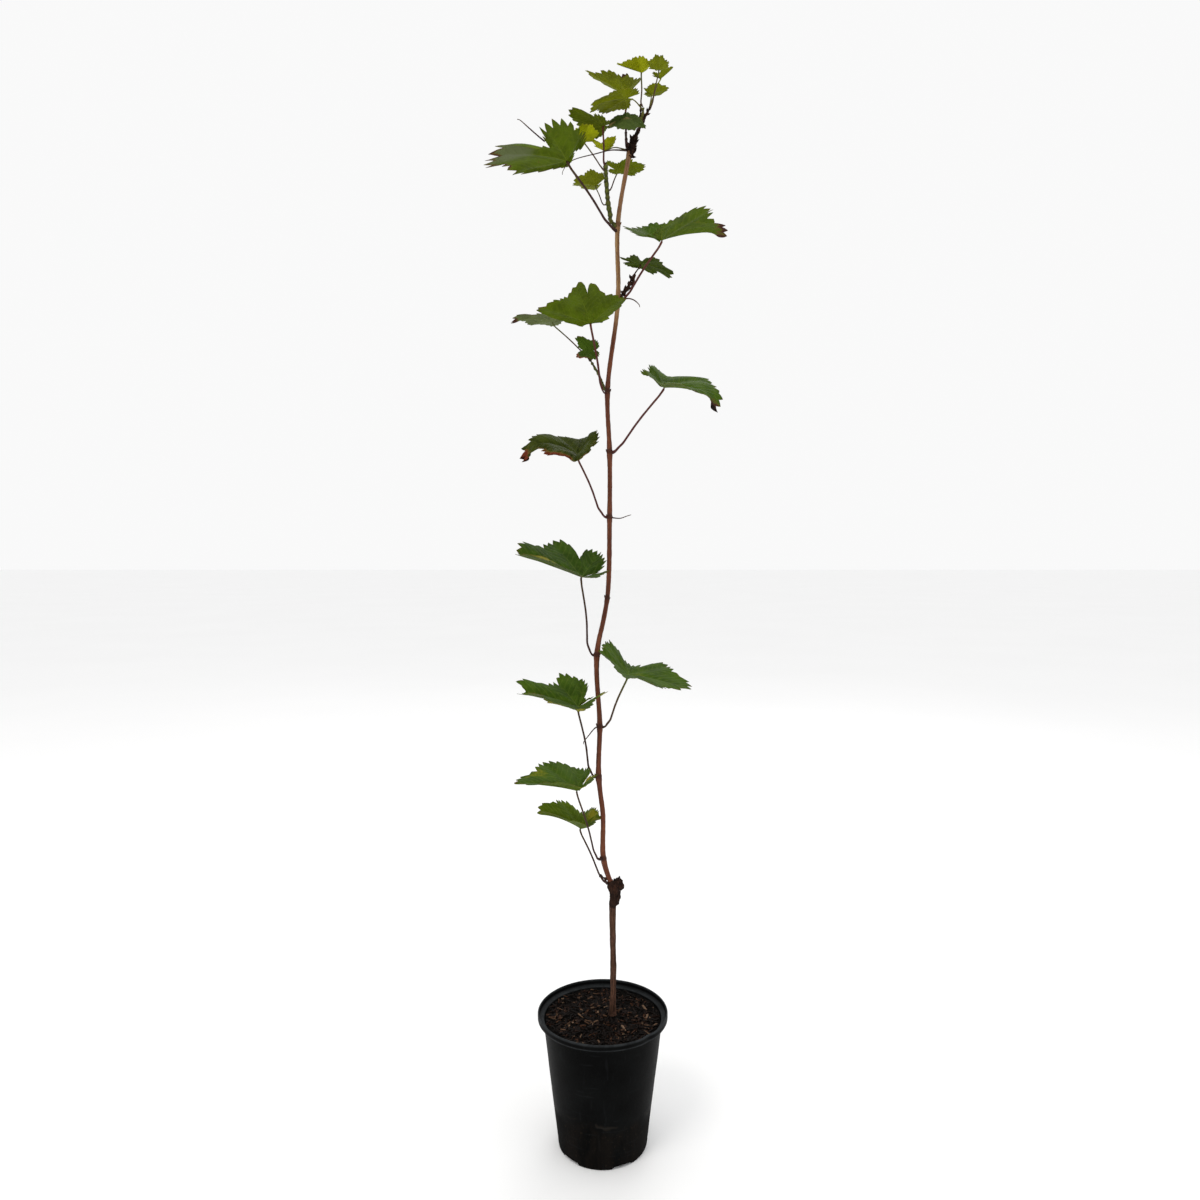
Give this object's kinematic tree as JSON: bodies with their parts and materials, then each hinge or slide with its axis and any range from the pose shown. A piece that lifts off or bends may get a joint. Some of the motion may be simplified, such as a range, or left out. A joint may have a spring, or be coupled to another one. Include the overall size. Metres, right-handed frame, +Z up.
{
  "type": "potted grapevine",
  "caption": "Young grapevine in a round nursery pot: pruned trunk, one tall zigzag cane, side shoots and toothed lobed leaves on long stalks",
  "frame": {"origin": "Centre of the pot's underside, on its centre pad, at floor level.", "axes": "+Z up along the vine; +X to the right, towards the small right-hand leaves; +Y to the back. The side seen in the picture faces -Y."},
  "size_m": [0.2803, 0.1748, 1.2637],
  "materials": {
    "pot": "matt, finely grained charcoal plastic, dusty towards the base",
    "soil": "dark moist potting mix with bark chips",
    "old_wood": "dark brown, rough and fibrous bark",
    "cane": "red-brown ripening cane, ochre-tan higher up, finely ridged",
    "green_shoot": "soft green young shoot",
    "stalk": "dark red-brown leaf stalks",
    "leaf": "mid green, satin, with paler veins and burnt brown margins",
    "young_leaf": "pale yellow-green young leaves"
  },
  "bodies": {
    "root": {"pot": "pot", "soil": "soil", "trunk": "old_wood", "head": "old_wood", "stem_1": "cane", "stem_2": "cane", "stem_3": "cane", "stem_4": "cane", "stem_5": "cane", "low_axil_shoot": "old_wood", "right_spur": "old_wood", "upper_side_shoot": "green_shoot", "top_knot": "old_wood", "top_shoot": "old_wood", "top_green_shoot": "green_shoot", "leaf_01": "leaf", "stalk_01": "stalk", "leaf_02": "leaf", "stalk_02": "stalk", "leaf_03": "leaf", "stalk_03": "stalk", "leaf_04": "leaf", "stalk_04": "stalk", "leaf_05": "leaf", "stalk_05": "stalk", "leaf_06": "leaf", "stalk_06": "stalk", "leaf_07": "leaf", "stalk_07": "stalk", "leaf_08": "leaf", "stalk_08": "stalk", "leaf_09": "leaf", "stalk_09": "stalk", "leaf_10": "leaf", "leaf_11": "leaf", "stalk_11": "stalk", "leaf_12": "leaf", "stalk_12": "stalk", "leaf_13": "leaf", "stalk_13": "stalk", "leaf_14": "young_leaf", "stalk_14": "stalk", "leaf_15": "young_leaf", "leaf_16": "young_leaf", "stalk_16": "stalk", "leaf_17": "young_leaf", "stalk_17": "stalk", "leaf_18": "young_leaf", "stalk_18": "stalk", "leaf_19": "young_leaf", "stalk_19": "stalk", "leaf_20": "young_leaf", "leaf_21": "young_leaf", "stalk_21": "stalk", "leaf_22": "young_leaf", "leaf_23": "young_leaf", "leaf_24": "young_leaf", "stalk_24": "stalk", "leaf_25": "young_leaf", "stalk_25": "stalk"}
  },
  "joints": []
}
